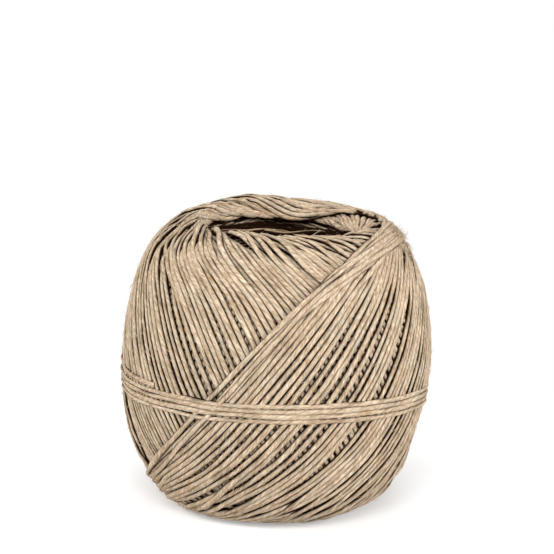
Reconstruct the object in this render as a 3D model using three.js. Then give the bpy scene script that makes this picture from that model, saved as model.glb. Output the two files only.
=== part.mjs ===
// A ball of natural bast-fibre twine, wound without a spool round an open eye.
//
// The twine runs in flat loops that lean from the eye's axis. The ball turns a little between two loops,
// so a lay is a fan of parallel turns that skims the rim of the eye. From the eye outwards the ball is built
// of nested winding layers, the old lay of turns that lean one way, the last lay that lies over a part of
// it at a steeper lean, and a band of turns round the waist, with the lead that runs down to it and the free
// end.
// Millimetres, +Z up along the eye, origin under the centre of the foot.

import * as THREE from "three";

// ---------------------------------------------------------------- driving dimensions

const BALL_WIDTH = 78.8; // across the last lay
const BALL_HEIGHT = 76; // from the foot to the crest of the top rim
const TWINE = 1.4; // diameter of the twine
const GAP = 0.3; // clearance between pieces that lie on each other

const RIM_WIDTH = 48; // from crest to crest across the rim, where the ball is highest
const MOUTH_WIDTH = 40; // clear width of the eye inside the rim
const LIP_DROP = 4; // how far the mouth lies below the crest
const EYE_WIDTH = 24; // clear width at mid height, as the mandrel left it
const EYE_LENGTH = 16; // how long the eye keeps that width
const FOOT_WIDTH = 53; // outer width of the pressed foot
const FOOT_FLAT = 5; // width of its flat face
const LAYERS = 4; // nested winding layers between the eye and the two lays

const OLD_GROUPS = 12; // groups of turns that the old lay is divided into
const OLD_TURNS = 8; // turns in each
const OLD_SHOWING = { right: 10, left: 8 }; // groups that newer turns leave in sight, on each side
const LAST_LEAN = 44; // degrees between the axis and the loops of the last lay
const LAST_GROUPS = 4; // groups of turns that the last lay is divided into
const LAST_TURNS = 7; // turns in each
const LAST_SWEEP = 96; // degrees that the ball turned while the last lay was wound
const LAST_EDGE = -12; // azimuth of the highest point of the newest loop, in degrees
const FURROW = 0.45; // depth of the furrow between two turns

const BAND_TURNS = 4;
const BAND_TOP = 34.3; // height of the band's uppermost turn above the foot
const BAND_TILT = 2; // degrees that the band is out of level, higher where the ball shows its last lay
const JOIN_AZIMUTH = 221; // where the lead joins the band, in degrees
const LEAD_SWEEP = 150; // degrees round the ball from the start of the lead to the band
const LEAD_RISE = 23; // how far the lead starts above the band
const END_SWEEP = 38; // degrees round the ball that the free end shows

// ---------------------------------------------------------------- resolution

const ROUND = 24; // facets round a layer
const LAYER_STEPS = 2; // facets along half of an inner layer's outline
const SHELL_STEPS = 4; // facets along a quarter of the outermost layer's outline
const SAG = 0.35; // how far a straight facet may dip into the round surface under it
const TUBE_SIDES = 6;
const STRAND_STEP = 15; // degrees round the ball between two sections of a single strand

// ---------------------------------------------------------------- derived sizes

const { degToRad, radToDeg, lerp, clamp, smoothstep } = THREE.MathUtils;

const HALF_HEIGHT = BALL_HEIGHT / 2;
const RIM_RADIUS = RIM_WIDTH / 2;
// Degrees round the ball that keep neighbours a gap apart, also where they converge beside the eye.
const ROOM = 1.5 * radToDeg(GAP / (MOUTH_WIDTH / 2));
const FACET_ANGLE = 2 * radToDeg(Math.acos(1 - SAG / BALL_WIDTH)); // dips half as far as SAG
// A lay's underside dips by SAG along its turns and by half as much across them, so it is bedded higher.
const BED = GAP + 1.5 * SAG;
// Standoff of each lay's underside from the outermost layer, and of its crests.
const OLD_BASE = BED;
const OLD_CREST = OLD_BASE + TWINE;
const LAST_BASE = OLD_CREST + BED;
const LAST_CREST = LAST_BASE + TWINE;
// Half axes of the outermost layer's section: its outer side, and its lip on the side of the eye.
const SIDE = { across: BALL_WIDTH / 2 - LAST_CREST - RIM_RADIUS, up: HALF_HEIGHT - OLD_CREST };
const LIP = { across: RIM_RADIUS - MOUTH_WIDTH / 2 - OLD_CREST, up: LIP_DROP };

// ---------------------------------------------------------------- the ball's surface

// The point (radius, height above mid height) that stands off the outermost layer by that much. u runs in
// radians from -PI, the mouth at the bottom, through 0, the waist, to PI, the mouth at the top. The crests
// of the rims are at a quarter turn.
function onSurface(u, standoff) {
  const outside = Math.abs(u) <= Math.PI / 2;
  const { across, up } = outside ? SIDE : LIP;
  const centre = new THREE.Vector2(RIM_RADIUS, outside ? 0 : Math.sign(u) * (SIDE.up - LIP.up));
  const normal = new THREE.Vector2(Math.cos(u) / across, Math.sin(u) / up).normalize();
  const on = new THREE.Vector2(across * Math.cos(u), up * Math.sin(u)).add(centre);
  return on.addScaledVector(normal, standoff);
}

// Finds where a function that rises from u = -top to u = top reaches a value.
function solve(rising, value, top) {
  let low = -top;
  let high = top;
  for (let i = 0; i < 50; i++) {
    const middle = (low + high) / 2;
    if (rising(middle) < value) low = middle;
    else high = middle;
  }
  return (low + high) / 2;
}

function slopeAt(u) {
  const at = onSurface(u, OLD_CREST);
  return at.y / at.x;
}

// The old loops skim the eye where the ball's surface is steepest as seen from its middle.
function steepest() {
  let best = 0;
  for (let u = 0; u < Math.PI; u += Math.PI / 720) {
    if (slopeAt(u) > slopeAt(best)) best = u;
  }
  return best;
}

const SKIM = steepest();
const OLD_LEAN = radToDeg(Math.atan(1 / slopeAt(SKIM)));
const FOOT_U = -Math.acos((FOOT_WIDTH / 2 + GAP - RIM_RADIUS) / SIDE.across);

// Where a loop with that lean is on the surface, at that angle along the loop from its highest point.
function loopToSurface(lean, along) {
  return solve(slopeAt, Math.cos(along) / Math.tan(degToRad(lean)), SKIM);
}

// The angle along a loop at which it passes u, the other way round.
function surfaceToLoop(lean, u) {
  return Math.acos(clamp(slopeAt(u) * Math.tan(degToRad(lean)), -1, 1));
}

// Points along a loop from one angle to another, in degrees, placed so that the straight facets between
// them all dip into the surface by as much. Without a count, it is the least that keeps the dip under SAG.
function loopPoints(lean, start, end, count) {
  const PARTS = 300;
  const fine = [];
  let effort = 0;
  for (let i = 0; i <= PARTS; i++) {
    const along = degToRad(lerp(start, end, i / PARTS));
    const u = loopToSurface(lean, along);
    const at = cylindrical(onSurface(u, 0), along);
    const normal = cylindrical(onSurface(u, 1), along).sub(at);
    const last = fine[fine.length - 1];
    if (last) effort += Math.sqrt(at.distanceTo(last.at) * normal.distanceTo(last.normal));
    fine.push({ along, u, at, normal, effort });
  }
  const steps = count ?? Math.ceil(effort / Math.sqrt(8 * SAG));
  return Array.from({ length: steps + 1 }, (_, step) => {
    const wanted = (effort * step) / steps;
    return fine.find((point) => point.effort >= wanted - 1e-9);
  });
}

function heightToSurface(height, standoff) {
  return solve((u) => onSurface(u, standoff).y, height, Math.PI / 2);
}

function cylindrical({ x: radius, y: height }, azimuth) {
  return new THREE.Vector3(radius * Math.cos(azimuth), radius * Math.sin(azimuth), height);
}

// ---------------------------------------------------------------- nodes and materials

const ball = new THREE.Group();
ball.position.z = HALF_HEIGHT;

const innerTwine = new THREE.MeshStandardMaterial({ color: 0xa98f6c, roughness: 0.95, metalness: 0 });
const outerTwine = new THREE.MeshStandardMaterial({ color: 0xcbb393, roughness: 0.92, metalness: 0 });
const freshTwine = new THREE.MeshStandardMaterial({ color: 0xd6c1a2, roughness: 0.9, metalness: 0 });

function addNode(name, geometry, material) {
  const mesh = new THREE.Mesh(geometry, material);
  mesh.name = name;
  ball.add(mesh);
}

// ---------------------------------------------------------------- nested winding layers

const EYE_END = new THREE.Vector2(EYE_WIDTH / 2, EYE_LENGTH / 2);
const LIP_END = onSurface(Math.PI, 0);

// Points up the outside of an inner layer, moved out by a clearance, from its bottom mouth to its top mouth.
function layerOutline(k, clearance) {
  const share = k / LAYERS;
  const mouth = EYE_END.clone().lerp(LIP_END, share);
  const across = lerp(EYE_WIDTH / 2, onSurface(0, 0).x, share) - mouth.x;
  const points = [];
  for (let i = -LAYER_STEPS; i <= LAYER_STEPS; i++) {
    const u = (Math.PI / 2) * (i / LAYER_STEPS);
    const x = mouth.x + (across + clearance) * Math.cos(u);
    points.push(new THREE.Vector2(x, (mouth.y + clearance) * Math.sin(u)));
  }
  return points;
}

// The outermost layer: its side and the top lip, and a foot that is pressed flat by the ball's own weight.
function shellOutline() {
  const points = [
    onSurface(-Math.PI, 0),
    new THREE.Vector2(RIM_RADIUS - FOOT_FLAT / 2, -HALF_HEIGHT),
    new THREE.Vector2(RIM_RADIUS + FOOT_FLAT / 2, -HALF_HEIGHT),
    new THREE.Vector2(FOOT_WIDTH / 2, lerp(-HALF_HEIGHT, onSurface(FOOT_U, 0).y, 1 / 2)),
  ];
  for (let i = 0; i <= 2 * SHELL_STEPS; i++) {
    points.push(onSurface(lerp(FOOT_U, Math.PI / 2, i / (2 * SHELL_STEPS)), 0));
  }
  points.push(onSurface((3 * Math.PI) / 4, 0), onSurface(Math.PI, 0));
  return points;
}

function windingLayer(k) {
  const outside = k === LAYERS ? shellOutline() : layerOutline(k, 0);
  const bore = [new THREE.Vector2(EYE_END.x, -EYE_END.y), EYE_END];
  const inside = k === 1 ? bore : layerOutline(k - 1, GAP);
  const profile = [...outside, ...inside.reverse()];
  return new THREE.LatheGeometry([...profile, profile[0]], ROUND).rotateX(Math.PI / 2);
}

for (let k = 1; k <= LAYERS; k++) {
  addNode(`winding_layer_${k}`, windingLayer(k), innerTwine);
}

// ---------------------------------------------------------------- groups of parallel turns

// Triangles between two rows of points that run side by side, given the share of the way at each point.
function zip(shareA, shareB, add) {
  let a = 0;
  let b = 0;
  while (a < shareA.length - 1 || b < shareB.length - 1) {
    const nextA = a + 1 < shareA.length ? shareA[a + 1] : Infinity;
    const nextB = b + 1 < shareB.length ? shareB[b + 1] : Infinity;
    if (nextA <= nextB) add(a, ++a, shareA.length + b);
    else add(a, shareA.length + b + 1, shareA.length + b++);
  }
}

// A group of turns that lie side by side. Each turn follows half of a loop from its highest point down, at
// azimuths that grow with hand 1 and fall with hand -1. The group begins at the loop whose highest point is
// at the azimuth from, and takes up sweep degrees. reach gives a turn's first and last angle along its loop,
// for its share of the sweep. All angles are in degrees.
function turnGroup({ lean, hand, from, sweep, turns, reach, base }) {
  // Over the crests and furrows, and the underside.
  const over = Array.from({ length: 2 * turns + 1 }, (_, i) => i / (2 * turns));
  const underParts = Math.ceil(sweep / FACET_ANGLE);
  const under = Array.from({ length: underParts + 1 }, (_, i) => i / underParts);
  const rows = Math.max(...[0, 1].map((share) => loopPoints(lean, ...reach(share)).length)) - 1;
  const columnAt = (share, height) => {
    const pole = degToRad(from + share * sweep);
    return loopPoints(lean, ...reach(share), rows).map(({ along, u }) => {
      return cylindrical(onSurface(u, height), pole + hand * along);
    });
  };
  const columns = [
    ...over.map((share, i) => columnAt(share, base + TWINE - (i % 2 === 0 ? FURROW : 0))),
    ...under.map((share) => columnAt(share, base)),
  ];
  const indices = [];
  const at = (column, row) => column * (rows + 1) + row;
  // The ring of a section runs over the turns, then back along the underside.
  const ring = [...over.keys(), ...under.map((_, i) => columns.length - 1 - i)];
  for (let i = 0; i < ring.length; i++) {
    const a = ring[i];
    const b = ring[(i + 1) % ring.length];
    for (let row = 0; row < rows; row++) {
      // Each pair of facets meets on the shorter diagonal, which lies closer to the surface.
      if (hand > 0) indices.push(at(a, row), at(a, row + 1), at(b, row));
      if (hand > 0) indices.push(at(b, row), at(a, row + 1), at(b, row + 1));
      if (hand < 0) indices.push(at(a, row), at(a, row + 1), at(b, row + 1));
      if (hand < 0) indices.push(at(a, row), at(b, row + 1), at(b, row));
    }
  }
  zip(over, under, (a, b, c) => {
    indices.push(at(a, 0), at(b, 0), at(c, 0));
    indices.push(at(a, rows), at(c, rows), at(b, rows));
  });
  const geometry = new THREE.BufferGeometry().setFromPoints(columns.flat());
  geometry.setIndex(indices);
  return geometry;
}

// A lay of groups, from its newest loop back to its oldest, with each loop a little further round. A half
// loop shows only where no newer half loop crosses it: older loops dive under newer ones, later and later
// down the side with hand -1, and sooner and sooner down the side with hand 1.
function lay({ name, lean, edge, sweep, groups, showing, turns, base, bottom, material }) {
  const groupSweep = sweep / groups;
  // Seen from outside, a turn runs down to the right with hand 1 and down to the left with hand -1.
  for (const [side, hand] of [["right", 1], ["left", -1]]) {
    for (let g = 0; g < showing[side]; g++) {
      const reach = (share) => {
        const dive = (g + share) * (groupSweep / 2);
        return hand > 0 ? [0, Math.min(bottom, 180 - dive - ROOM)] : [dive + ROOM, bottom];
      };
      const from = edge + g * groupSweep;
      const group = turnGroup({ lean, hand, from, sweep: groupSweep - ROOM, turns, reach, base });
      addNode(`${name}_${side}_${String(g + 1).padStart(2, "0")}`, group, material);
    }
  }
}

// The old lay goes all round, from the skimmed rim down to beside the foot.
lay({
  name: "old_lay",
  lean: OLD_LEAN,
  edge: LAST_EDGE + LAST_SWEEP,
  sweep: 360,
  groups: OLD_GROUPS,
  showing: OLD_SHOWING,
  turns: OLD_TURNS,
  base: OLD_BASE,
  bottom: radToDeg(surfaceToLoop(OLD_LEAN, FOOT_U)),
  material: outerTwine,
});

// The last lay goes on where the old one ended, and covers a part of it.
lay({
  name: "last_lay",
  lean: LAST_LEAN,
  edge: LAST_EDGE,
  sweep: LAST_SWEEP,
  groups: LAST_GROUPS,
  showing: { right: LAST_GROUPS, left: LAST_GROUPS },
  turns: LAST_TURNS,
  base: LAST_BASE,
  bottom: 180,
  material: freshTwine,
});

// ---------------------------------------------------------------- single strands

// The standoff of the surface that a strand lies on there. It is higher on the last lay, and past that
// lay's edges a taut strand comes down to the old lay along a tangent.
const EDGE_SPAN = radToDeg(Math.acos(1 - (LAST_CREST - OLD_CREST) / (BALL_WIDTH / 2)));

function bedAt(u, azimuth) {
  const along = radToDeg(surfaceToLoop(LAST_LEAN, u));
  const pastEdge = [LAST_EDGE - along, LAST_EDGE + along].map((edge) => {
    const middle = edge + LAST_SWEEP / 2;
    const off = Math.abs(((((azimuth - middle) % 360) + 540) % 360) - 180);
    return off - LAST_SWEEP / 2;
  });
  const share = 1 - smoothstep(Math.min(...pastEdge), 0, 1.5 * EDGE_SPAN);
  return lerp(OLD_CREST, LAST_CREST, share);
}

// A strand from one azimuth to another, in degrees, at the height above mid height that heightAt gives.
function strand(name, from, to, heightAt) {
  const steps = Math.ceil(Math.abs(to - from) / STRAND_STEP);
  const points = [];
  for (let i = 0; i <= steps; i++) {
    const azimuth = lerp(from, to, i / steps);
    const u = heightToSurface(heightAt(azimuth), 0);
    const clear = bedAt(u, azimuth) + GAP + TWINE / 2;
    points.push(cylindrical(onSurface(u, clear), degToRad(azimuth)));
  }
  const section = new THREE.Shape().absarc(0, 0, TWINE / 2, 0, 2 * Math.PI);
  const geometry = new THREE.ExtrudeGeometry(section, {
    steps,
    curveSegments: TUBE_SIDES / 2,
    extrudePath: new THREE.CatmullRomCurve3(points),
    bevelEnabled: false,
  });
  addNode(name, geometry, freshTwine);
}

// The band runs round the waist, each turn below the one before it. It is cut where the lead joins it.
const bandPitch = TWINE + GAP;
const bandTop = BAND_TOP - HALF_HEIGHT;
const bandTilt = (BALL_WIDTH / 2) * Math.sin(degToRad(BAND_TILT));
const bandRoom = radToDeg((2 * GAP) / BALL_WIDTH);

function bandHeight(azimuth, turn) {
  return bandTop - turn * bandPitch - bandTilt * Math.sin(degToRad(azimuth));
}

for (let turn = 0; turn < BAND_TURNS; turn++) {
  strand(`band_turn_${turn + 1}`, JOIN_AZIMUTH + bandRoom, JOIN_AZIMUTH + 360 - bandRoom, (azimuth) => {
    return bandHeight(azimuth, turn);
  });
}

// The lead comes down from the last lay and levels out as it joins the band.
function leadHeight(azimuth) {
  const left = (JOIN_AZIMUTH - azimuth) / LEAD_SWEEP;
  return bandHeight(azimuth, -1) + LEAD_RISE * left ** 1.6;
}

strand("band_lead", JOIN_AZIMUTH - LEAD_SWEEP, JOIN_AZIMUTH, leadHeight);

// The free end lies beside the lead, above it, and stops where the lead joins the band.
strand("outer_end", JOIN_AZIMUTH - END_SWEEP, JOIN_AZIMUTH, (azimuth) => {
  return leadHeight(azimuth) + bandPitch;
});

export default ball;
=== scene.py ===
# %% [markdown]
# This is a ball of natural twine, wound without a spool round an open eye, standing on its foot. The packed
# model holds its plain solids, and Blender gives it its looks: every turn of twine that can be seen becomes
# a real tube, laid in the order in which it was wound.

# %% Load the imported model
import math

import bpy
import numpy as np
from mathutils import Matrix, Vector


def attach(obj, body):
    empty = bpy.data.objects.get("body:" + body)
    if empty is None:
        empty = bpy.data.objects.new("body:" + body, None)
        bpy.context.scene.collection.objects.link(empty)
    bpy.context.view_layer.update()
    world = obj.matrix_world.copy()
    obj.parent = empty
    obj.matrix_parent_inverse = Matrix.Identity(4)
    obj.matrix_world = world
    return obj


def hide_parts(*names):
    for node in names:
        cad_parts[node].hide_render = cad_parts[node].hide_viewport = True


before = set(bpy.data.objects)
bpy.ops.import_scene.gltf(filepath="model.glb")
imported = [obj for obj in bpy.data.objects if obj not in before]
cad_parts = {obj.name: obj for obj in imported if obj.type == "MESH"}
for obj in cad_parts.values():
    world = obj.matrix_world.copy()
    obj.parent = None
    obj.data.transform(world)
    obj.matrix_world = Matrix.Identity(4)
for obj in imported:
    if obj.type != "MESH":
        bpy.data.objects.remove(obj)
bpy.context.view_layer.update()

# %% [markdown]
# The camera comes first. A wide lens would swell the near side of the ball, so a long lens looks from some
# way off. It looks down a little, and the far side of the rim and the dark eye show above the near side.
# After it has been aimed it is turned a little more, which puts the ball low in the frame and just off
# level.

# %% Camera
AIM = Vector((0, 0, 0.0395))
CAMERA_LIFT, CAMERA_DISTANCE = math.radians(12.8), 0.6
PLACE_UP, ROLL = math.radians(1.85), math.radians(1.2)
LENS, SENSOR = 150.5, 36        # millimetres

camera = bpy.data.objects.new("camera", bpy.data.cameras.new("camera"))
bpy.context.scene.collection.objects.link(camera)
bpy.context.scene.camera = camera
camera.data.sensor_width, camera.data.lens = SENSOR, LENS
camera.location = AIM + CAMERA_DISTANCE * Vector((0, -math.cos(CAMERA_LIFT), math.sin(CAMERA_LIFT)))
towards = (AIM - camera.location).to_track_quat("-Z", "Y").to_matrix()
towards = towards @ Matrix.Rotation(PLACE_UP, 3, "X") @ Matrix.Rotation(ROLL, 3, "Z")
camera.rotation_euler = towards.to_euler()
print("camera at", [round(value, 3) for value in camera.location])

# %% [markdown]
# The ball has no spool. The winding machine laid the twine in flat loops that lean from the ball's axis,
# and turned the ball a little after each loop, so the loops fan out from an open eye at each end. A smooth
# shell with painted or bumped stripes would be quick, but the look of such a ball comes from turns that
# cross, dive under others and bridge hollows. So every turn is laid again in its order, on a map of the
# ball's height.

# %% The ball's own sizes, in millimetres
BELLY = 39.3            # radius of the waist over the old lay
RIM, FOOT_RING = 22.5, 19.4     # radius of the crest round the eye, and of the ring that the ball stands on
WAIST = 39.5            # height of the waist above the table
TALL = 76.0             # height of the crest
LIP_ACROSS, LIP_UP = (6.0, 4.0), (9.0, 6.5)    # how the crest rounds into the eye, at the top and the foot
SHOULDER = (1.1, 70, 25), (0.8, 63, 22)        # how far it bulges there, and at which degrees of u
LAID_AT = 0, 30, 55, 75, 90, 105, 120, 180     # degrees of u, up or down from the waist
LAID = 4.4, 5.0, 7.5, 9.5, 9.0, 7.0, 5.5, 4.5  # and how thick the turns laid below pack there
rng = np.random.default_rng(11)
rad = np.radians

# %% [markdown]
# A place on the ball is an azimuth and u, an angle along the outline: -90 degrees at the foot, 0 at the
# waist, 90 at the crest of the rim, and more on the way down into the eye. Each half of the outline is two
# quarters of an ellipse with a soft shoulder added, because a plain ellipse is too slim where the loops
# turn back.


# %% The outline
def laid_thickness(u):
    return np.interp(np.abs(u), rad(LAID_AT), LAID)


def outline(u, stand):
    """Radius, height and normal at u, for something that stands that far off the bed."""
    u = np.asarray(u, float)
    top, side = u > 0, np.abs(u) <= np.pi / 2
    up, ring = np.where(top, TALL - WAIST, WAIST), np.where(top, RIM, FOOT_RING)
    lip_across, lip_up = np.where(top, *LIP_ACROSS), np.where(top, *LIP_UP)
    a, b = np.where(side, BELLY - ring, lip_across), np.where(side, up, lip_up)
    middle = WAIST + np.where(side, 0, np.sign(u) * (up - lip_up))
    nr, nz = np.cos(u) / a, np.sin(u) / b
    size = np.hypot(nr, nz)
    nr, nz = nr / size, nz / size
    bulge, bulge_at, spread = (np.where(top, *pair) for pair in zip(*SHOULDER))
    out = stand - laid_thickness(u) + bulge * np.exp(-((np.abs(u) - rad(bulge_at)) / rad(spread)) ** 2)
    return ring + a * np.cos(u) + out * nr, middle + b * np.sin(u) + out * nz, nr, nz


def placed(azimuth, u, stand):
    """The same as points and normals in space."""
    r, z, nr, nz = outline(u, stand)
    at = np.stack([r * np.cos(azimuth), r * np.sin(azimuth), z], 1)
    return at, np.stack([nr * np.cos(azimuth), nr * np.sin(azimuth), nz], 1)


U_ALL = np.linspace(-3.1, 3.1, 2401)
R_ALL, Z_ALL, _, _ = outline(U_ALL, laid_thickness(U_ALL))
ARC = np.concatenate([[0], np.cumsum(np.hypot(np.diff(R_ALL), np.diff(Z_ALL)))])
print("the outline is", round(float(ARC[-1])), "mm long, from inside the eye to inside the eye")

# %% [markdown]
# The map has a cell for each small step round the ball and along its outline, and holds how high the twine
# lies there over the bed. Laying a turn reads the map and then writes it.

# %% The map of heights
MAP_TURNS, MAP_STEP = 960, 0.25     # its cells round the ball, and their size along the outline
CELLS = int(ARC[-1] / MAP_STEP) + 1
U_CELL = np.interp(np.arange(CELLS) * MAP_STEP, ARC, U_ALL)
height = np.zeros((MAP_TURNS, CELLS))


def look(azimuth, u):
    """The height in the nearest cell."""
    i = np.round(azimuth / (2 * np.pi) * MAP_TURNS).astype(int) % MAP_TURNS
    j = np.round(np.interp(u, U_ALL, ARC) / MAP_STEP).astype(int)
    return height[i, np.clip(j, 0, CELLS - 1)]


def sample(field, azimuth, u):
    """The value of a field between its four nearest cells."""
    i = azimuth / (2 * np.pi) * MAP_TURNS
    j = np.clip(np.interp(u, U_ALL, ARC) / MAP_STEP, 0, CELLS - 1.001)
    i0, j0 = np.floor(i).astype(int), np.floor(j).astype(int)
    fi, fj = i - i0, j - j0
    a, b = i0 % MAP_TURNS, (i0 + 1) % MAP_TURNS
    return ((field[a, j0] * (1 - fi) + field[b, j0] * fi) * (1 - fj)
            + (field[a, j0 + 1] * (1 - fi) + field[b, j0 + 1] * fi) * fj)


print("the map has", MAP_TURNS, "by", CELLS, "cells")

# %% [markdown]
# A loop lies nearly in a plane that leans from the axis, so its height over its radius follows a cosine.
# That ratio is greatest just inside the rim. A loop whose top lies beyond that place dips into the eye
# there.

# %% A loop's course
RISE = (Z_ALL - WAIST) / R_ALL
FOOT_AT, RIM_AT = np.argmin(RISE), np.argmax(RISE)
RISE_UP, U_UP = RISE[FOOT_AT:RIM_AT + 1], U_ALL[FOOT_AT:RIM_AT + 1]
SKIM_FOOT, SKIM_RIM = U_ALL[FOOT_AT], U_ALL[RIM_AT]
DIP_WIDTH = rad(20)
STEP = 1.25             # distance between two points of a loop


def course(psi, top, bottom):
    """u along a loop at the angle psi from its highest point."""
    reach_top = np.interp(min(top, SKIM_RIM), U_ALL, RISE)
    reach_foot = np.interp(np.maximum(bottom, SKIM_FOOT), U_ALL, RISE)
    share = (1 + np.cos(psi)) / 2
    u = np.interp(reach_top * share + reach_foot * (1 - share), RISE_UP, U_UP)
    u = u + max(0, top - SKIM_RIM) * np.exp(-(psi / DIP_WIDTH) ** 2)
    away = np.pi - np.abs(psi)
    return u + np.minimum(0, bottom - SKIM_FOOT) * np.exp(-(away / DIP_WIDTH) ** 2)


def evenly(azimuth, u):
    """The same course with its points a STEP apart."""
    at, _ = placed(azimuth, u, laid_thickness(u))
    run = np.concatenate([[0], np.cumsum(np.linalg.norm(np.diff(at, axis=0), axis=1))])
    wanted = np.linspace(0, run[-1], int(run[-1] / STEP) + 1)
    return np.interp(wanted, run, azimuth), np.interp(wanted, run, u)


def heading(azimuth, u):
    """Length along the outline, radius, and how much of the way goes round the ball and how much up."""
    s, r = np.interp(u, U_ALL, ARC), np.interp(u, U_ALL, R_ALL)
    run, climb = np.gradient(azimuth) * r, np.gradient(s)
    size = np.hypot(run, climb)
    return s, r, run / size, climb / size


print("a loop that skims the eye turns back at", [round(math.degrees(u)) for u in (SKIM_FOOT, SKIM_RIM)])

# %% [markdown]
# A taut turn rests on the highest turns under it and runs straight over the hollows between them. A cloth
# or rope simulation of a hundred metres of twine would take hours. Here the turn's height starts as what
# the map asks for and is pulled straight a number of times, which gives the same bridges in an instant.
# Then the turn is stamped into the map, rounded like the twine.

# %% Laying a turn
TIGHT, STACK = 1.15, 0.95       # how near two turns lie side by side, and how far one rides on another
PULLS, LEAST_SAG = 40, 0.004    # how often a turn is pulled straight, and the least it sags then
AROUND, ALONG = np.meshgrid(np.arange(-9, 10), np.arange(-5, 6), indexing="ij")    # cells near a point
AROUND, ALONG = AROUND.ravel(), ALONG.ravel()


def pull_taut(azimuth, u, needed):
    at, normal = placed(azimuth, u, laid_thickness(u))
    sag = -(((at[:-2] + at[2:]) / 2 - at[1:-1]) * normal[1:-1]).sum(1)
    h = needed.copy()
    for _ in range(PULLS):
        h[1:-1] = np.maximum(needed[1:-1], (h[:-2] + h[2:]) / 2 - np.maximum(sag, LEAST_SAG))
    return np.convolve(np.pad(h, 2, mode="edge"), np.array([1, 2, 3, 2, 1]) / 9, "valid")


def stamp(azimuth, u, h):
    s, r, run, climb = heading(azimuth, u)
    i = np.round(azimuth / (2 * np.pi) * MAP_TURNS).astype(int)[:, None] + AROUND
    j = np.round(s / MAP_STEP).astype(int)[:, None] + ALONG
    off_i = (i * (2 * np.pi / MAP_TURNS) - azimuth[:, None]) * r[:, None]
    off_j = j * MAP_STEP - s[:, None]
    beside = off_i * climb[:, None] - off_j * run[:, None]
    before = off_i * run[:, None] + off_j * climb[:, None]
    hit = (np.abs(before) < 0.8 * STEP) & (np.abs(beside) < TIGHT) & (j >= 0) & (j < CELLS)
    top = h[:, None] + STACK * np.sqrt(np.maximum(0, 1 - (beside / TIGHT) ** 2))
    np.maximum.at(height.reshape(-1), ((i % MAP_TURNS) * CELLS + j)[hit], top[hit])


def lay_turn(azimuth, u, start):
    """Lays a turn that goes on at the height start, where the last one ended, and returns its heights."""
    needed = look(azimuth, u)
    if start is not None:
        needed[0] = start
    h = pull_taut(azimuth, u, needed)
    stamp(azimuth, u, h)
    return h


# %% [markdown]
# Twine doesn't stay on top of its neighbour. It slides sideways into the furrow beside it, as far as its
# pull allows, and this makes tight groups of turns with dark gaps between them. The cheapest way through
# the furrows is found as a route planner finds one, step by step along the turn.

# %% Sliding into a furrow
SLIDES = np.arange(-12, 13) * 0.2       # how far aside a point may lie
GRIP, PULL = 0.10, 0.06                 # what a change of slide costs, and what lying off the course costs
DEEPEST, FIRM = rad(130), 20            # no turn lies further into the eye, and what going on costs
EVENED, EASED_IN = 3.0, 5               # points that even out a slide, and that join it to the last one


def slide(azimuth, u, loose, begin):
    """The turn after it has slid, and where it ended. loose says along the turn how easily it slides."""
    s, r, run, climb = heading(azimuth, u)
    azimuths = azimuth[:, None] + SLIDES * climb[:, None] / r[:, None]
    us = np.interp(s[:, None] - SLIDES * run[:, None], ARC, U_ALL)
    price = look(azimuths, us) + PULL * SLIDES ** 2 / loose[:, None] ** 2
    price = price + FIRM * np.maximum(0, np.abs(us) - DEEPEST)
    best = np.empty(price.shape, int)
    total = price[0] + FIRM * np.abs(SLIDES - begin)
    states = np.arange(len(SLIDES))
    for i in range(1, len(price)):
        from_left = np.concatenate([[np.inf], total[:-1] + GRIP])
        from_right = np.concatenate([total[1:] + GRIP, [np.inf]])
        choices = np.stack([total, from_left, from_right])
        pick = choices.argmin(0)
        best[i] = np.where(pick == 0, states, np.where(pick == 1, states - 1, states + 1))
        total = choices.min(0) + price[i]
    k = int(total.argmin())
    shift = np.empty(len(price))
    for i in range(len(price) - 1, -1, -1):
        shift[i] = SLIDES[k]
        k = best[i][k] if i else k
    kernel = np.exp(-0.5 * (np.arange(-8, 9) / EVENED) ** 2)
    shift = np.convolve(np.pad(shift, 8, mode="edge"), kernel / kernel.sum(), "valid")
    shift += (begin - shift[0]) * np.exp(-np.arange(len(shift)) / EASED_IN)
    return azimuth + shift * climb / r, np.interp(s - shift * run, ARC, U_ALL), shift[-1]


# %% [markdown]
# The turns would pile up round the eye, where all of them pass. On a real ball the winder's guide wanders,
# and a turn slips down into the lowest place nearby. So a turn tries a few tops that are close to the last
# one's and takes the one where the map is lowest.

# %% Choosing where a turn skims the eye
TRIES, NEAR_TOP = 9, rad(np.linspace(-35, 35, 15))
HALF_WAY = 1.2          # u of the loop's other end while it is tried, which hardly matters
MISJUDGED = 0.05        # millimetres by which the winder may misjudge a place


def settle(azimuth, upper, last, low, high, drift):
    best, lowest = last, np.inf
    for one in np.clip(np.linspace(last - drift, last + drift, TRIES), low, high):
        if upper:
            u, around = course(NEAR_TOP, one, -HALF_WAY), azimuth + NEAR_TOP
        else:
            away = np.where(NEAR_TOP < 0, NEAR_TOP + np.pi, NEAR_TOP - np.pi)
            u, around = course(away, HALF_WAY, -one), azimuth + np.pi + NEAR_TOP
        level = look(around, u).mean() + rng.normal(0, MISJUDGED)
        if level < lowest:
            best, lowest = one, level
    return best


# %% [markdown]
# Twine under tension packs, so a lay ends up thinner than its turns stacked one by one. After a lay is
# wound, the map is blurred before and after it, which gives the lay's thickness, and the turns are squeezed
# or lifted towards the thickness that is wanted. Round the eye the blur is wide round the ball and short
# along the outline, because the lip there is hardly wider than a few turns.

# %% Blurring the map
COVERED = np.flatnonzero(np.abs(U_CELL) < rad(127))[[0, -1]]    # first and last cell that turns cover well
CROWDED = 16, 0.6       # degrees round the ball and mm along the outline that are blurred round the eye


def smooth(x, low, high):
    """A soft step from 0 at low to 1 at high."""
    x = np.clip((x - low) / (high - low), 0, 1)
    return x * x * (3 - 2 * x)


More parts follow.
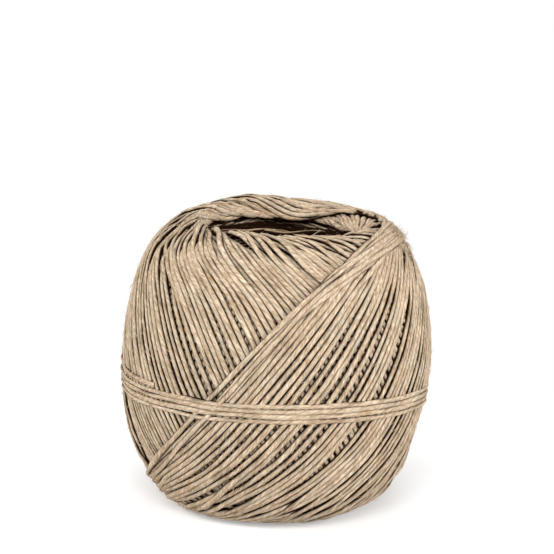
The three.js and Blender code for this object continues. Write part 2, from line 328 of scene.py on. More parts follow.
def blurred(field, degrees, along):
    field = field[:, np.clip(np.arange(CELLS), *COVERED)]
    waves_i = np.fft.fftfreq(MAP_TURNS) * 2 * np.pi * degrees / 360 * MAP_TURNS
    pad = int(3 * along / MAP_STEP)
    wide = np.pad(field, ((0, 0), (pad, pad)), mode="edge")
    waves_j = np.fft.fftfreq(wide.shape[1]) * 2 * np.pi * along / MAP_STEP
    soft = np.exp(-0.5 * waves_i ** 2)[:, None] * np.exp(-0.5 * waves_j ** 2)[None]
    return np.real(np.fft.ifft2(np.fft.fft2(wide) * soft))[:, pad:-pad]


OPEN = 1 - smooth(np.abs(U_CELL), rad(68), rad(88))[None]       # 1 where the turns aren't crowded


def levelled(degrees, along):
    return blurred(height, degrees, along) * OPEN + blurred(height, *CROWDED) * (1 - OPEN)


# %% [markdown]
# Now a whole lay can be wound. A turn's top and bottom are chosen, its course is worked out, it slides, it
# is pulled taut, and the ball turns on. The next turn begins where this one ended, so the twine is never
# cut.

# %% Winding a lay
PASSES = (3.5, 2.6), (2.5, 1.8), (2.0, 1.4)     # blurs, in degrees and mm, for each pass of the packing


def looseness(u):
    """A turn slides easily on the shoulders, less at the waist and hardly at all inside the eye."""
    return 0.35 + 1.5 * np.sin(u) ** 2 * np.clip((rad(112) - np.abs(u)) / rad(26), 0.05, 1)


def pack_down(laid, beneath, base, target, fill):
    """Squeezes or lifts a lay to its wanted thickness, and lifts what lies beneath with it."""
    global height
    for degrees, along in PASSES:
        soft = np.maximum(levelled(degrees, along) - base, 0.2)
        room = np.maximum(target - base, 0.1)
        squeeze, lift = np.minimum(1, room / soft), fill * np.maximum(0, room - soft)
        for one in laid:
            azimuth, u, h = one
            b = sample(base, azimuth, u)
            one[2] = b + (h - b) * sample(squeeze, azimuth, u) + sample(lift, azimuth, u)
        for one in beneath:
            one[2] = one[2] + sample(lift, one[0], one[1])
        height = base + (height - base) * squeeze + lift
        base = base + lift


def wind(turns, pitch, reach, drift, thick, beneath=(), fill=0.95, spread=0.15):
    """Lays that many loops and returns their courses. The pitch is in degrees and varies by the spread.
    reach gives the limits of the tops and bottoms for the share that is laid, and drift how fast they
    change. thick is the lay's packed thickness, and fill how much of a hollow is made up."""
    base = levelled(*PASSES[0])
    target = base + thick
    laid = []
    tops, bottoms = reach(0)
    top, bottom = np.clip(state["top"], *tops), np.clip(state["bottom"], *bottoms)
    psi = np.linspace(-np.pi, np.pi, 721)
    pitches = 1 + spread * rng.normal(size=turns)
    for number, turn in enumerate(rad(pitch) * pitches / pitches.mean()):
        tops, bottoms = reach(number / turns)
        top = settle(state["at"], True, top, *tops, drift)
        after = settle(state["at"], False, bottom, *bottoms, drift)
        u = course(psi, top, np.where(psi < 0, -bottom, -after))
        azimuth, u = evenly(state["at"] + psi - turn * (psi + np.pi) / (2 * np.pi), u)
        azimuth, u, state["aside"] = slide(azimuth, u, looseness(u), state["aside"])
        h = lay_turn(azimuth, u, state["h"])
        laid.append([azimuth, u, h])
        state["h"] = h[-1]
        state["at"] -= turn
        bottom = after
    state["top"], state["bottom"] = top, bottom
    pack_down(laid, beneath, base, target, fill)
    state["h"] = laid[-1][2][-1]
    waist = float(height[:, CELLS // 2].mean())
    print(turns, "turns wound, the twine is now", round(waist, 2), "mm thick at the waist")
    return laid


# %% [markdown]
# The old lay goes once round the ball over an under lay that shows through its gaps. Both skim the eye at
# many depths. The last lay goes only part of the way round, and its loops lean more and more, so its first
# turns dive under its last ones near the rim and its newest turn ends it with a clean edge.

# %% The under lay, the old lay and the last lay
UNDER_TURNS, OLD_TURNS, LAST_TURNS, LAST_SWEEP = 112, 124, 35, 100
TOPS, BOTTOMS = rad((98, 128)), rad((94, 122))
CREST_AT, CRESTS = (0, 30, 55, 75, 90, 110), (-0.3, 0.0, 0.5, 1.0, 1.3, 1.6)
RISE_SHARE, LAST_RISE = (0, 0.12, 0.35, 0.75, 1), (1.84, 1.68, 1.48, 1.31, 1.17)
FOOT_SHARE, LAST_FOOT = (0, 0.35, 0.75, 1), (82, 75, 66, 58)
LAST_WANDER = rad(1.5)
state = {"at": rad(804), "top": 1.9, "bottom": 1.8, "h": None, "aside": 0.0}


def packed(share, lean):
    """A share of the thickness laid here, less the crests of the turns, and more or less near the eye."""
    crests = np.interp(np.abs(U_CELL), rad(CREST_AT), CRESTS)
    return ((share + lean * np.abs(np.sin(U_CELL)) ** 3) * (laid_thickness(U_CELL) - crests))[None]


def skimming(share):
    return TOPS, BOTTOMS


def steeper(share):
    top = np.interp(np.interp(share, RISE_SHARE, LAST_RISE), RISE_UP, U_UP)
    bottom = rad(np.interp(share, FOOT_SHARE, LAST_FOOT))
    return (top - LAST_WANDER, top + LAST_WANDER), (bottom - LAST_WANDER, bottom + LAST_WANDER)


under_lay = wind(UNDER_TURNS, 360 / UNDER_TURNS, skimming, rad(3), packed(0.42, -0.2))
old_lay = wind(OLD_TURNS, 360 / OLD_TURNS, skimming, rad(2), packed(0.58, 0.2), under_lay)
last_lay = wind(LAST_TURNS, LAST_SWEEP / LAST_TURNS, steeper, LAST_WANDER, 0.9, fill=0, spread=0.38)

# %% [markdown]
# The last turn leaves the lay on its way down the far side, levels out round the left and becomes the band,
# a few turns side by side round the waist. Its cut end lies over them, beside the place where the band
# begins. The band was wound tighter than the lays, so it presses into them.

# %% The lead, the band and its end
BAND_TOP, BAND_PITCH, BAND_TURNS = 33.7, 1.33, 4    # height of its first turn, its step down, its turns
BAND_TILT = 1.4         # how much it is out of level
JOIN = rad(221)         # azimuth where the band begins, and where its end comes back over it
LEAD_UP, LEAD_BEND = 22, 3.1    # how far above the band the lead comes from, and how late it bends
LAST_PITCH = rad(2.9)   # how far the ball turns under the last loop
VEER = rad(35), rad(92)         # the azimuths past that loop between which it becomes the lead
END_CLIMB = rad(125), rad(45)   # how far before the cut the end begins and stops climbing over the band
END_UP, END_DROOP = 1.5, 0.5    # how far over the band's first turn it lies, and how far it comes down
SINK, SINK_OVER = 0.6, (rad(60), rad(150))      # how far the band presses in, and where that begins
BAND_WANDER = 0.12      # how far its turns stray up and down
PART = 200              # points that are laid at a time, because the band's end lies on its own turns


def band_level(azimuth):
    return BAND_TOP - BAND_TILT * np.sin(azimuth) - BAND_PITCH * np.maximum(0, azimuth - JOIN) / (2 * np.pi)


def on_outline(z):
    side = np.abs(U_ALL) < np.pi / 2
    return np.interp(z, Z_ALL[side], U_ALL[side])


def lead_and_band():
    """The course of the twine from the last lay to its cut end."""
    psi = np.linspace(-np.pi, rad(110), 500)
    leaving = course(psi, state["top"], -state["bottom"])
    azimuth = state["at"] + psi - LAST_PITCH * (psi + np.pi) / (2 * np.pi)
    last = JOIN + 2 * np.pi * BAND_TURNS
    rounds = np.arange(azimuth[-1] + rad(1), last, rad(1))
    azimuth = np.concatenate([azimuth, rounds])
    level = band_level(azimuth) + LEAD_UP * np.clip((JOIN - azimuth) / rad(150), 0, 1.2) ** LEAD_BEND
    wander = np.convolve(rng.normal(size=len(level) + 80), np.hanning(81) / 4, "valid")[:len(level)]
    level += BAND_WANDER * wander * (azimuth > JOIN)
    over = smooth(azimuth, last - END_CLIMB[0], last - END_CLIMB[1])
    end_level = band_level(JOIN) + END_UP + END_DROOP * np.clip((last - azimuth) / END_CLIMB[1], 0, 1.5)
    level = level * (1 - over) + end_level * over
    veer = smooth(azimuth, state["at"] + VEER[0], state["at"] + VEER[1])
    z = np.concatenate([np.interp(leaving, U_ALL, Z_ALL), np.zeros(len(rounds))])
    u = on_outline(z * (1 - veer) + level * veer)
    still = np.flatnonzero(veer[:len(leaving)] == 0)
    u[still] = leaving[still]
    return evenly(azimuth, u)


azimuth, u = lead_and_band()
h, start = np.empty(len(azimuth)), state["h"]
for first in range(0, len(azimuth) - 1, PART):
    part = slice(first, first + PART + 1)
    h[part] = lay_turn(azimuth[part], u[part], start)
    start = h[min(first + PART, len(azimuth) - 1)]
sunk = SINK * smooth(azimuth, state["at"] + SINK_OVER[0], state["at"] + SINK_OVER[1])
band = [[azimuth, u, h - sunk]]
print("the lead, band and end have", len(azimuth), "points")

# %% [markdown]
# The real ball isn't as even as the outline. Its crest is out of level, the eye sits a little off the
# centre, the far lip hangs into the eye, and its weight presses the foot flat. It would be hard to wind on
# such a form, so the turns are wound on the even one and bent afterwards, all by the same rule.

# %% Bending the ball out of true
LEAN_FROM = 58                         # the ball is bent above this height
SLOPE = (0.03, 0.09)                   # how far the crest is out of level in front and behind
CREST_ASIDE, EYE_ASIDE = 2.0, -1.5     # how far the crest and the eye in it lie off the ball's centre
NEAR_DROP, LEFT_DROP = 1.2, 0.1        # how much lower the crest lies in front, and how it falls leftwards
FAR_SAG = 1.9                          # how much deeper the lip hangs into the eye behind
SLOPE_Y, SAG_Y = (-10, 20), (2, 16)    # from front to back, where the slope changes and the sag sets in
CREST, LIP, EYE = (34, 24), (23, 17), (14, 22)      # radii between which the bends of each set in
PRESSED, FOOT = 2.0, 0.62              # what is lower than the first is pressed, down to the second at most


def bent(at):
    high = smooth(at[:, 2], LEAN_FROM, TALL)
    out = np.hypot(at[:, 0], at[:, 1])
    at[:, 2] -= np.interp(at[:, 1], SLOPE_Y, SLOPE) * at[:, 0] * high
    at[:, 2] -= NEAR_DROP * smooth(-at[:, 1], -20, 20) * high
    beyond = -at[:, 0] - 9
    at[:, 2] -= LEFT_DROP * (beyond + np.hypot(beyond, 5)) / 2 * high
    at[:, 2] -= FAR_SAG * smooth(at[:, 1], *SAG_Y) * smooth(out, *LIP) * high
    at[:, 0] += smooth(out, *CREST) * high * (EYE_ASIDE + (CREST_ASIDE - EYE_ASIDE) * smooth(out, *EYE))
    return at


def positions(azimuth, u, h):
    at, normal = placed(azimuth, u, h)
    low = at[:, 2] < PRESSED
    at[low, 2] = FOOT + (PRESSED - FOOT) * np.exp((at[low, 2] - PRESSED) / (PRESSED - FOOT))
    return bent(at), normal


# %% [markdown]
# A turn of twine is a tube along its course. A bevelled curve would make one too, but it has no room for
# loose fibres or for a map that follows the spin, so the mesh is built face by face. Each corner of a face
# gets two places: one on the twine's own map, which runs once round the twine, turning as the yarn was
# spun, and along it in millimetres, and one on the map for baking, which lays the twine out in rows.

# %% Gathering faces
MM = 0.001
SPIN = 13.0             # millimetres of twine in one turn of its spin


class Faces:
    def __init__(self, points, sides):
        self.corners, self.sizes, self.twine, self.bake = [], [], [], []
        self.per_row = int(math.sqrt(points * sides * 1.3))
        self.rows = (points - 2) // self.per_row + 2        # one more row than the tube needs, for the rest

    def add(self, corners, size, twine, bake):
        self.corners.append(corners.ravel())
        self.sizes.append(np.full(corners.size // size, size))
        self.twine.append(twine.reshape(-1, 2))
        self.bake.append((bake / [self.per_row, self.rows]).reshape(-1, 2))

    def made(self, name, verts, painted_light):
        corners, sizes = np.concatenate(self.corners), np.concatenate(self.sizes)
        mesh = bpy.data.meshes.new(name)
        mesh.vertices.add(len(verts))
        mesh.vertices.foreach_set("co", (verts * MM).ravel())
        mesh.loops.add(len(corners))
        mesh.loops.foreach_set("vertex_index", corners)
        mesh.polygons.add(len(sizes))
        mesh.polygons.foreach_set("loop_start", np.concatenate([[0], np.cumsum(sizes)[:-1]]))
        mesh.update(calc_edges=True)
        mesh.polygons.foreach_set("use_smooth", np.ones(len(sizes), bool))
        # Each corner keeps its painted light, from which the finish paints shade on the flanks.
        mesh.attributes.new("painted_light", "FLOAT", "POINT").data.foreach_set("value", painted_light)
        mesh.uv_layers.new(name="twine").data.foreach_set("uv", np.concatenate(self.twine).ravel())
        mesh.uv_layers.new(name="OFBake").data.foreach_set("uv", np.concatenate(self.bake).ravel())
        return mesh


# %% [markdown]
# The tube is a little flatter than it is wide where it presses on the turns below. Light hardly reaches the
# flanks of a turn between its neighbours, so each corner keeps a value of painted light, from which the
# finish paints shade into the twine's colour. It is highest on the turn's back, and a flank with open air
# beside it is raised, so less shade is painted there.

# %% The body of a turn
# Settings of the painted light, from which the finish paints shade on the flanks of the turns.
BESIDE = 1.2                    # how far beside a turn the air is felt for
SHUT, CLEAR = -0.3, 0.9         # depths beside it at which the air counts as shut and as open
DARKEST, RAISED = -0.2, 0.75    # the least value of a corner, and how far open air raises a flank


def tube_body(at, normal, wide, thick, sides):
    """Corners of a tube along the points at, and its directions along, up and to the side."""
    along = np.gradient(at, axis=0)
    along /= np.linalg.norm(along, axis=1, keepdims=True)
    side = np.cross(normal, along)
    side /= np.linalg.norm(side, axis=1, keepdims=True)
    up = np.cross(along, side)
    turn = 2 * np.pi * np.arange(sides) / sides
    ring = (side[:, None] * (np.cos(turn) * wide[:, None] / 2)[:, :, None]
            + up[:, None] * (np.sin(turn) * thick[:, None] / 2)[:, :, None])
    return (at[:, None] + ring).reshape(-1, 3), (along, up, side)


def add_tube(faces, n, sides, run):
    i, k = np.meshgrid(np.arange(n - 1), np.arange(sides), indexing="ij")
    i, k = i.ravel(), k.ravel()
    nxt = (k + 1) % sides
    walls = np.stack([i * sides + k, (i + 1) * sides + k, (i + 1) * sides + nxt, i * sides + nxt], 1)
    across = np.stack([k, k, k + 1, k + 1], 1) / sides
    length = np.stack([run[i], run[i + 1], run[i + 1], run[i]], 1)
    row = (i // faces.per_row)[:, None]
    place = np.stack([i, i + 1, i + 1, i], 1) - row * faces.per_row
    spun = np.stack([across + length / SPIN, length], 2)
    baked = np.stack([place, row + 0.05 + 0.9 * across], 2)
    faces.add(walls[:, ::-1], 4, spun[:, ::-1], baked[:, ::-1])
    turn = 2 * np.pi * np.arange(sides) / sides
    for ring, end in ((np.arange(sides), 0), ((n - 1) * sides + np.arange(sides)[::-1], -1)):
        cap = np.stack([np.cos(turn), np.sin(turn)], 1) * 0.2 + [0.5 * faces.per_row, faces.rows - 0.2]
        faces.add(ring, sides, np.full((sides, 2), run[end]), cap)


def openness(azimuth, u, h):
    """How open the air is on either side of a turn, from 0 to 1."""
    s, r, run, climb = heading(azimuth, u)
    found = []
    for off in (BESIDE, -BESIDE):
        beside = sample(height, azimuth - off * climb / r, np.interp(s + off * run, ARC, U_ALL))
        found.append(smooth(h - beside, SHUT, CLEAR))
    return np.stack(found, 1)


# The painted light of each corner: low on a turn's flanks, where the finish paints shade into the colour.
def painted_light_of_corners(clear, sides):
    turn = 2 * np.pi * np.arange(sides) / sides
    lit = np.maximum(np.sin(turn), DARKEST)
    beside = clear[:, [0]] * np.maximum(0, np.cos(turn)) + clear[:, [1]] * np.maximum(0, -np.cos(turn))
    return (lit + (1 - lit) * RAISED * beside * (np.sin(turn) > -0.3)).ravel()


# %% [markdown]
# Bast fibres work loose from such twine and give it a soft edge. A particle system can't be exported, so
# each loose fibre is a real one: a thin blade of three sides that leaves the twine, leans on and curls.
# They stand only where nothing lies on the twine.

# %% Loose fibres
# A fibre's painted light is above 1, and the finish paints it paler than the twine, to make up for the
# shade that thin fibres cast on each other.
FIBRE_PAINTED_LIGHT = 1.5       # marks a fibre, whose finish is paler than the twine's
LEAN, CURL = (0.25, 1.0), 0.35  # how steeply it leaves the twine, and the most that it curls
BLADE, TAPER = (0.05, 0.085), (1, 0.9, 0.7, 0.3)    # its radius at the root, and how that tapers


def fibres(at, directions, roots, reach):
    """Corners of the fibres that stand off at the roots, four rings of three corners to a fibre."""
    along, up, side = directions
    n = len(roots)
    turn = rng.uniform(0.15 * np.pi, 0.85 * np.pi, n)
    out = np.cos(turn)[:, None] * side[roots] + np.sin(turn)[:, None] * up[roots]
    ahead = along[roots] * rng.choice([-1, 1], n)[:, None]
    lean = rng.uniform(*LEAN, n)[:, None]
    length = reach[roots] * rng.uniform(0.4, 1.0, n)
    curl = rng.uniform(-CURL, CURL, (n, 1)) * np.cross(ahead, out)
    share = np.array([0, 0.35, 0.7, 1])[None, :, None]
    way = ahead[:, None] + lean[:, None] * out[:, None] * (1 - 0.45 * share) + curl[:, None] * share
    centre = at[roots][:, None] + 0.6 * out[:, None] + length[:, None, None] * share * way
    thin = rng.uniform(*BLADE, n)[:, None] * np.array(TAPER)[None]
    corner = 2 * np.pi * np.arange(3) / 3
    across = np.cross(ahead, out)
    ring = np.cos(corner)[:, None] * out[:, None] + np.sin(corner)[:, None] * across[:, None]
    return (centre[:, :, None] + thin[:, :, None, None] * ring[:, None]).reshape(-1, 3)


def add_fibres(faces, first, roots, run):
    """Faces of the fibres, whose corners begin at first. They share the last row of the map for baking."""
    hairs = len(roots)
    base = first + 12 * np.arange(hairs)[:, None, None, None]
    level, corner = np.meshgrid(np.arange(3), np.arange(3), indexing="ij")
    level, corner = level[None, :, :, None], corner[None, :, :, None]
    step_up, step_on = np.array([0, 0, 1, 1]), np.array([0, 1, 1, 0])
    walls = base + 3 * (level + step_up) + (corner + step_on) % 3
    spun = np.stack([np.full(36 * hairs, 0.25), np.repeat(run[roots], 36)], 1)
    spun += np.tile(np.stack([step_on, step_up], 1) * 0.3, (9 * hairs, 1))
    spot = (np.arange(hairs)[:, None, None, None] + 0.1 + 0.25 * (level + step_up)) / hairs
    spot = np.broadcast_to(spot * faces.per_row, walls.shape)
    rise = np.broadcast_to(faces.rows - 0.9 + 0.18 * (corner + step_on), walls.shape)
    faces.add(walls, 4, spun, np.stack([spot.ravel(), rise.ravel()], 1))
    caps = np.concatenate([base[:, 0, 0] + [2, 1, 0], base[:, 0, 0] + 9 + [0, 1, 2]])
    corners = np.tile([[0, 0], [0.1, 0], [0, 0.1]], (2 * hairs, 1))
    faces.add(caps, 3, run[0] + corners, corners + [0.2 * faces.per_row, faces.rows - 0.15])


# %% [markdown]
# A stretch of twine becomes one piece.

# %% A stretch of twine as a piece
WIDE, THICK = 1.48, 1.3         # the twine across and through where it presses on what lies below
WAVES = (0.07, 45.0), (0.05, 14.0), (0.04, 4.0)     # its thick and thin places: how strong, how long in mm
THINNEST, FATTEST = -0.17, 0.24
pieces = []


def uneven(n):
    wave = np.zeros(n)
    for size, reach in WAVES:
        kernel = np.exp(-0.5 * (np.arange(-30, 31) * STEP / reach) ** 2)
        noise = rng.normal(size=n + 60)
        wave += size * np.convolve(noise, kernel / np.sqrt((kernel ** 2).sum()), "valid")[:n]
    return 1 + np.clip(wave, THINNEST, FATTEST)


def cord_piece(name, at, normal, replaced, run0, sides, clear=None, roots=(),
               reach=None):
    """Makes the piece along the points at, where run0 mm of twine lie before it, and returns its end."""
    fat = uneven(len(at))
    clear = np.zeros((len(at), 2)) if clear is None else clear
    verts, directions = tube_body(at, normal, WIDE * fat, THICK * fat, sides)
    run = run0 + np.concatenate([[0], np.cumsum(np.linalg.norm(np.diff(at, axis=0), axis=1))])
    faces, painted_light = Faces(len(at), sides), painted_light_of_corners(clear, sides)
    add_tube(faces, len(at), sides, run)
    if len(roots):
        add_fibres(faces, len(verts), roots, run)
        verts = np.concatenate([verts, fibres(at, directions, roots, reach)])
        # Fibres get a high painted light, which the finish paints as a paler colour.
        painted_light = np.concatenate([painted_light, np.full(12 * len(roots), FIBRE_PAINTED_LIGHT)])
    piece = bpy.data.objects.new(name, faces.made(name, verts, painted_light))
    bpy.context.scene.collection.objects.link(piece)
    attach(piece, "root")
    if replaced:
        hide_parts(*replaced)
    path = [tuple(point) for point in at * MM]
    pieces.append(piece)
    print(name, "length", round(run[-1] - run[0]), "mm,", len(piece.data.polygons), "faces")
    return run[-1]


# %% [markdown]
# Only the ends of the oldest turns show, down in the eye. They were wound on a thick pin that was pulled
# out, each round a little further out than the last. They lie on barrels that grow from the eye outwards,
# and need no map. A few flat rings would look like a pipe from above, and real turns that wander don't.

# %% The inner turns
INNER_TURNS, INNER_PITCH, INNER_POINTS = 300, rad(12.3), 56     # the last is how many points a turn has
EYE_RADIUS, EYE_HALF = 12.7, 8.0       # the eye at mid height, as the pin left it, and half its length
MOUTH_GROWS, UP_GROWS, BELLY_GROWS = 5.2, 25.0, 23.5    # how far the barrels grow at mouth, end and waist
INNER_FULL, INNER_SLOWS = 0.86, 0.8     # the share of that at the last turn, and how the growth slows
SHY = 0.985             # how near to a barrel's end its turns reach
STRAY_OUT, STRAY_ROUND, BUMPY = 0.012, rad(2.0), 0.25   # how unevenly they lie
INNER_PER_PIECE = 30 * INNER_POINTS


def inner_winding():
    t = np.arange(INNER_TURNS * INNER_POINTS + 1) / INNER_POINTS
    psi = 2 * np.pi * (t % 1) - np.pi
    wander = np.interp(t, np.arange(INNER_TURNS + 1), rng.normal(size=INNER_TURNS + 1))
    share = INNER_FULL * (t / INNER_TURNS) ** INNER_SLOWS + STRAY_OUT * wander
    azimuth = 2 * np.pi * t - INNER_PITCH * t + STRAY_ROUND * wander
    mouth, up = EYE_RADIUS + MOUTH_GROWS * share, EYE_HALF + UP_GROWS * share
    across = EYE_RADIUS + BELLY_GROWS * share - mouth
    wanted = SHY * up / mouth * np.cos(psi)
    low, high = np.full(len(t), -np.pi / 2), np.full(len(t), np.pi / 2)
    for _ in range(30):
        u = (low + high) / 2
        under = up * np.sin(u) / (mouth + across * np.cos(u)) < wanted
        low, high = np.where(under, u, low), np.where(under, high, u)
    bumps = np.convolve(rng.normal(size=len(t) + 4), np.hanning(7)[1:-1], "valid") * BUMPY
    nr, nz = np.cos(u) / np.maximum(across, 1), np.sin(u) / up
    size = np.hypot(nr, nz)
    nr, nz = nr / size, nz / size
    r = mouth + across * np.cos(u) + bumps * nr
    at = np.stack([r * np.cos(azimuth), r * np.sin(azimuth), WAIST + up * np.sin(u) + bumps * nz], 1)
    return bent(at), np.stack([nr * np.cos(azimuth), nr * np.sin(azimuth), nz], 1)


run = 0.0
inner_at, inner_normal = inner_winding()
for number, first in enumerate(range(0, len(inner_at) - 1, INNER_PER_PIECE)):
    part = slice(first, first + INNER_PER_PIECE + 1)
    replaced = [f"winding_layer_{k}" for k in (1, 2, 3)] if number == 0 else ()
    run = cord_piece(f"inner_turns_{number + 1:02d}", inner_at[part], inner_normal[part], replaced, run,
                     sides=6)

# %% [markdown]
# The outer lays are cut into pieces of about two dozen turns, so that no mesh gets too large, and each goes
# on where the last one ended. Where the twine has frayed, on the right shoulder and in a few places round
# the eye, more and longer fibres stand off.

# %% The outer lays, the band and the end
FRAYED = np.array([[32.0, -5.0, 70.0], [35.5, -7.0, 64.0], [10.0, -19.5, 74.0], [-6.0, -19.5, 74.5]])
FRAY_COUNT, FRAY_REACH, FRAY_SIZE = (100, 3, 2, 1), (3.4, 3.2, 3.0, 2.6), 4.5
FIBRE_EVERY = 6.5       # millimetres of bare twine for each fibre elsewhere
BARE = 1.15             # twine is bare where the map is less than this above its middle
FRAYING = "last_lay", "old_lay"


def twine_piece(name, laid, replaced, run0):
    at, normal, bare, clear = [], [], [], []
    for azimuth, u, h in laid:
        p, q = positions(azimuth, u, h)
        cut = 0 if not at else 1
        at.append(p[cut:])
        normal.append(q[cut:])
        bare.append((sample(height, azimuth, u) - h < BARE)[cut:])
        clear.append(openness(azimuth, u, h)[cut:])
    at, normal, bare, clear = (np.concatenate(parts) for parts in (at, normal, bare, clear))
    open_air = np.flatnonzero(bare & (at[:, 2] > PRESSED))
    roots = open_air[rng.random(len(open_air)) < STEP / FIBRE_EVERY]
    reach = rng.uniform(0.8, 2.4, len(at))
    for spot, count, long in zip(FRAYED, FRAY_COUNT, FRAY_REACH):
        near = open_air[np.linalg.norm(at[open_air] - spot, axis=1) < FRAY_SIZE]
        if name.startswith(FRAYING) and len(near):
            more = rng.choice(near, count)
            reach[more] = long
            roots = np.concatenate([roots, more])
    return cord_piece(name, at, normal, replaced, run0, 8, clear, roots, reach)


nodes = list(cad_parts)
lays = (("under_lay", under_lay, 24, "winding_layer_4"), ("old_lay", old_lay, 24, "old_lay"),
        ("last_lay", last_lay, 18, "last_lay"))
for name, laid, per_piece, stood_for in lays:
    for first in range(0, len(laid), per_piece):
        replaced = [node for node in nodes if node.startswith(stood_for)] if first == 0 else ()
        number = first // per_piece + 1
        run = twine_piece(f"{name}_turns_{number:02d}", laid[first:first + per_piece], replaced, run)

band_nodes = [node for node in nodes if node.startswith(("band_", "outer_end"))]
run = twine_piece("lead_band_and_end", band, band_nodes, run)
print(len(pieces), "pieces,", round(run / 1000, 1), "m of twine")

# %% [markdown]
# A finish is a small graph of nodes. Wired by hand it takes a page for each colour, so shader maths is
# written here like any sum: a small class wraps a socket, and an expression on values adds the Math nodes
# that it needs. Any other node comes from one method.

# %% Shader expressions
class Wire:
    def __init__(self, nodes, socket):
        self.nodes, self.socket = nodes, socket

    def maths(self, operation, *others):
        return self.nodes.node("ShaderNodeMath", {"operation": operation}, [self, *others])

    def __add__(self, other):
        return self.maths("ADD", other)

    def __sub__(self, other):
        return self.maths("SUBTRACT", other)

    def __mul__(self, other):
        return self.maths("MULTIPLY", other)

    def clip(self, low, high):
        """From 0 at low to 1 at high, in a straight line."""
        return self.nodes.node("ShaderNodeMapRange", {"clamp": True}, {0: self, 1: low, 2: high})


class Nodes:
    """The nodes of a finish or of the world."""

    def __init__(self, tree):
        self.tree = tree

    def node(self, kind, settings=None, inputs=(), output=0):
        made = self.tree.nodes.new(kind)
        for key, value in (settings or {}).items():
            setattr(made, key, value)
        pairs = inputs.items() if isinstance(inputs, dict) else enumerate(inputs)
        for key, value in pairs:
            if isinstance(value, Wire):
                self.tree.links.new(value.socket, made.inputs[key])
            else:
                made.inputs[key].default_value = value
        return Wire(self, made.outputs[output])

    def blend(self, share, a, b):
        return self.node("ShaderNodeMix", {"data_type": "RGBA"}, {0: share, 6: a, 7: b}, output=2)

    def seen_directly(self):
        """1 for rays from the camera, or from it by way of a mirror or glass."""
        rays = [self.node("ShaderNodeLightPath", output=f"Is {ray} Ray")
                for ray in ("Camera", "Glossy", "Transmission")]
        return rays[0].maths("MAXIMUM", rays[1]).maths("MAXIMUM", rays[2])


class Finish(Nodes):
    """A material."""

    def __init__(self, name, roughness, specular):
        self.data = bpy.data.materials.new(name)
        self.data.use_nodes = True
        super().__init__(self.data.node_tree)
        self.shader = self.tree.nodes["Principled BSDF"]
        self.shader.inputs["Roughness"].default_value = roughness
        self.shader.inputs["Specular IOR Level"].default_value = specular

    def feed(self, name, wire):
        self.tree.links.new(wire.socket, self.shader.inputs[name])


def hue(red, green, blue):
    """A colour as it looks, given from 0 to 255, for a node's socket."""
    linear = [((c / 255 + 0.055) / 1.055) ** 2.4 if c > 10 else c / 255 / 12.92 for c in (red, green, blue)]
    return (*linear, 1)


# %% [markdown]
# Bast twine is dry and matt. Pale fibres run along it and turn with its spin, with darker ones between
# them, a brown fleck of bark here and there, and slow changes from straw to grey. Flat colour with bump
# alone looks like plastic tube. So noise is read from the twine's own map, wrapped into a circle so that it
# meets itself round the twine. Shade is painted on the flanks: they darken to a deep brown with the painted
# light that each corner keeps. Loose fibres are painted paler, to make up for the shade they cast on each
# other.

# %% Twine finish
def twine_finish(name, pale, mid, deep, seed):
    finish = Finish(name, roughness=0.9, specular=0.06)
    place = finish.node("ShaderNodeUVMap", {"uv_map": "twine"})
    around = finish.node("ShaderNodeSeparateXYZ", None, [place])
    along = Wire(finish, around.socket.node.outputs[1])
    turn = around * (2 * math.pi)
    cos, sin = turn.maths("COSINE"), turn.maths("SINE")

    def noise(scale_around, scale_along, detail, shift=0.0):
        place = [cos * scale_around + shift, sin * scale_around, along * scale_along + seed]
        vector = finish.node("ShaderNodeCombineXYZ", None, place)
        inputs = {"Vector": vector, "Scale": 1.0, "Detail": detail, "Roughness": 0.6}
        return finish.node("ShaderNodeTexNoise", None, inputs)

    fibre = noise(1.5, 0.55, 3.0)
    fine = noise(4.5, 0.9, 2.0, 5.0)
    shade = noise(0.2, 0.07, 1.0, 51.0)
    drift = noise(0.25, 0.012, 2.0, 11.0)
    tint = noise(0.3, 0.03, 2.0, 23.0)
    fleck = noise(0.6, 0.1, 1.0, 37.0)
    colour = finish.blend(fibre.clip(0.36, 0.64), mid, pale)
    colour = finish.blend(drift.clip(0.35, 0.68) * 0.55, colour, deep)
    colour = finish.blend(tint.clip(0.48, 0.7) * 0.5, colour, hue(204, 193, 172))
    colour = finish.blend(fine.clip(0.5, 0.72) * 0.6, colour, hue(116, 88, 58))
    colour = finish.blend(fine.clip(0.46, 0.3) * 0.5, colour, hue(250, 236, 214))
    colour = finish.blend(fleck.clip(0.7, 0.76) * 0.45, colour, hue(176, 126, 80))
    # Painted shade: where the painted light is low, on the flanks between turns, the colour is blended to a
    # deep brown, and the shade noise varies how deep.
    painted_light = finish.node("ShaderNodeAttribute", {"attribute_name": "painted_light"}, output="Fac")
    flank = (painted_light - shade.clip(0.3, 0.7) * 0.4).clip(0.12, 0.66)
    colour = finish.blend(flank, hue(34, 18, 6), colour)
    # Painted light: fibres are blended towards pale straw, to make up for their own shade.
    colour = finish.blend((painted_light - 1.0).clip(0.0, FIBRE_PAINTED_LIGHT - 1) * 0.8, colour, hue(250, 229, 196))
    finish.feed("Base Color", colour)
    finish.feed("Roughness", fibre * 0.15 + 0.8)
    relief = {"Height": fibre * 0.7 + fine * 0.5, "Strength": 0.9, "Distance": 0.0004}
    finish.feed("Normal", finish.node("ShaderNodeBump", None, relief))
    print(name, "has", len(finish.tree.nodes), "nodes")
    return finish.data


# The turns down in the eye get a darker copy of the twine finish. This is painted shade of the eye, as the
# twine there is the same.
outer = twine_finish("outer_twine", hue(239, 217, 191), hue(174, 148, 117), hue(160, 133, 101), 0.0)
inner = twine_finish("inner_twine", hue(214, 190, 158), hue(172, 144, 110), hue(150, 120, 84), 90.0)
for piece in pieces:
    piece.data.materials.append(inner if piece.name.startswith("inner") else outer)

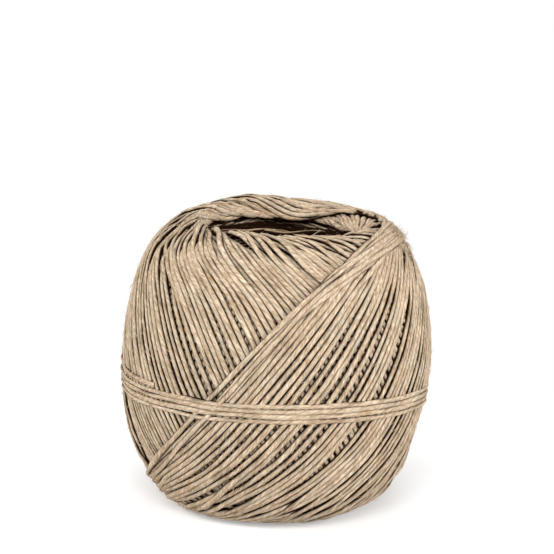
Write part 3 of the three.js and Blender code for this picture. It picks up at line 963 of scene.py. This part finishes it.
# %% [markdown]
# The ball stands on a pale floor. A floor that is only white turns grey where the lamps fade. Near the ball
# it is a matt surface that keeps the ball's shadow, with a little glow for the camera that brings it to
# white. Further out it turns into plain white, so no horizon shows.

# %% Floor
FLOOR_RADIUS, WHITE_FROM, WHITE_BY, GLOW = 3, 0.06, 0.16, 0.35

bpy.ops.object.select_all(action="DESELECT")
bpy.ops.mesh.primitive_circle_add(vertices=96, radius=FLOOR_RADIUS, fill_type="NGON", location=(0, 0, 0))
floor = bpy.context.object
floor.name = "floor"
ground = Finish("pale_floor", roughness=0.9, specular=0.0)
ground.shader.inputs["Base Color"].default_value = (0.8, 0.8, 0.8, 1)
seen = ground.seen_directly()
spot = ground.node("ShaderNodeTexCoord", output="Object")
away = ground.node("ShaderNodeVectorMath", {"operation": "LENGTH"}, [spot], output="Value")
glow = ground.node("ShaderNodeEmission", None, {"Color": (1, 1, 1, 1), "Strength": seen * GLOW})
lit = ground.node("ShaderNodeAddShader", None, [Wire(ground, ground.shader.outputs[0]), glow])
white = ground.node("ShaderNodeEmission", None, {"Color": (1, 1, 1, 1), "Strength": 1.0})
both = ground.node("ShaderNodeMixShader", None, [away.clip(WHITE_FROM, WHITE_BY) * seen, lit, white])
ground.tree.links.new(both.socket, ground.tree.nodes["Material Output"].inputs["Surface"])
floor.data.materials.append(ground.data)
print("floor", 2 * FLOOR_RADIUS, "m across")

# %% [markdown]
# The ball is lit as in a small studio. The world is white to the eye but gives only a soft fill, so that
# the gaps between the turns stay dark. Four softboxes do the rest: the key above the camera, one on each
# side that rounds the ball, and a weak one above that reaches into the eye.

# %% World and lamps
AMBIENT = 0.26          # the world's light, as a share of what the camera sees of it
LAMPS = {"key": ((-0.1, -0.9, 0.7), 0.6, 8.1), "left": ((-0.9, -0.1, 0.4), 0.6, 4.9),
         "right": ((0.85, -0.5, 0.4), 0.6, 6.4), "top": ((0.1, 0.1, 1.1), 0.7, 2.5)}   # place, size, watts

world = bpy.data.worlds.new("studio")
bpy.context.scene.world = world
world.use_nodes = True
sky = Nodes(world.node_tree)
backdrop = sky.tree.nodes["Background"]
backdrop.inputs["Color"].default_value = (1, 1, 1, 1)
strength = sky.seen_directly() * (1 - AMBIENT) + AMBIENT
sky.tree.links.new(strength.socket, backdrop.inputs["Strength"])

for name, (place, size, power) in LAMPS.items():
    lamp = bpy.data.lights.new(name, "AREA")
    lamp.shape, lamp.size, lamp.energy = "DISK", size, power
    box = bpy.data.objects.new(name, lamp)
    bpy.context.scene.collection.objects.link(box)
    box.location = place
    box.rotation_euler = (AIM - Vector(place)).to_track_quat("-Z", "Y").to_euler()

bpy.context.scene.view_settings.view_transform = "Standard"
print("lamps", ", ".join(LAMPS))
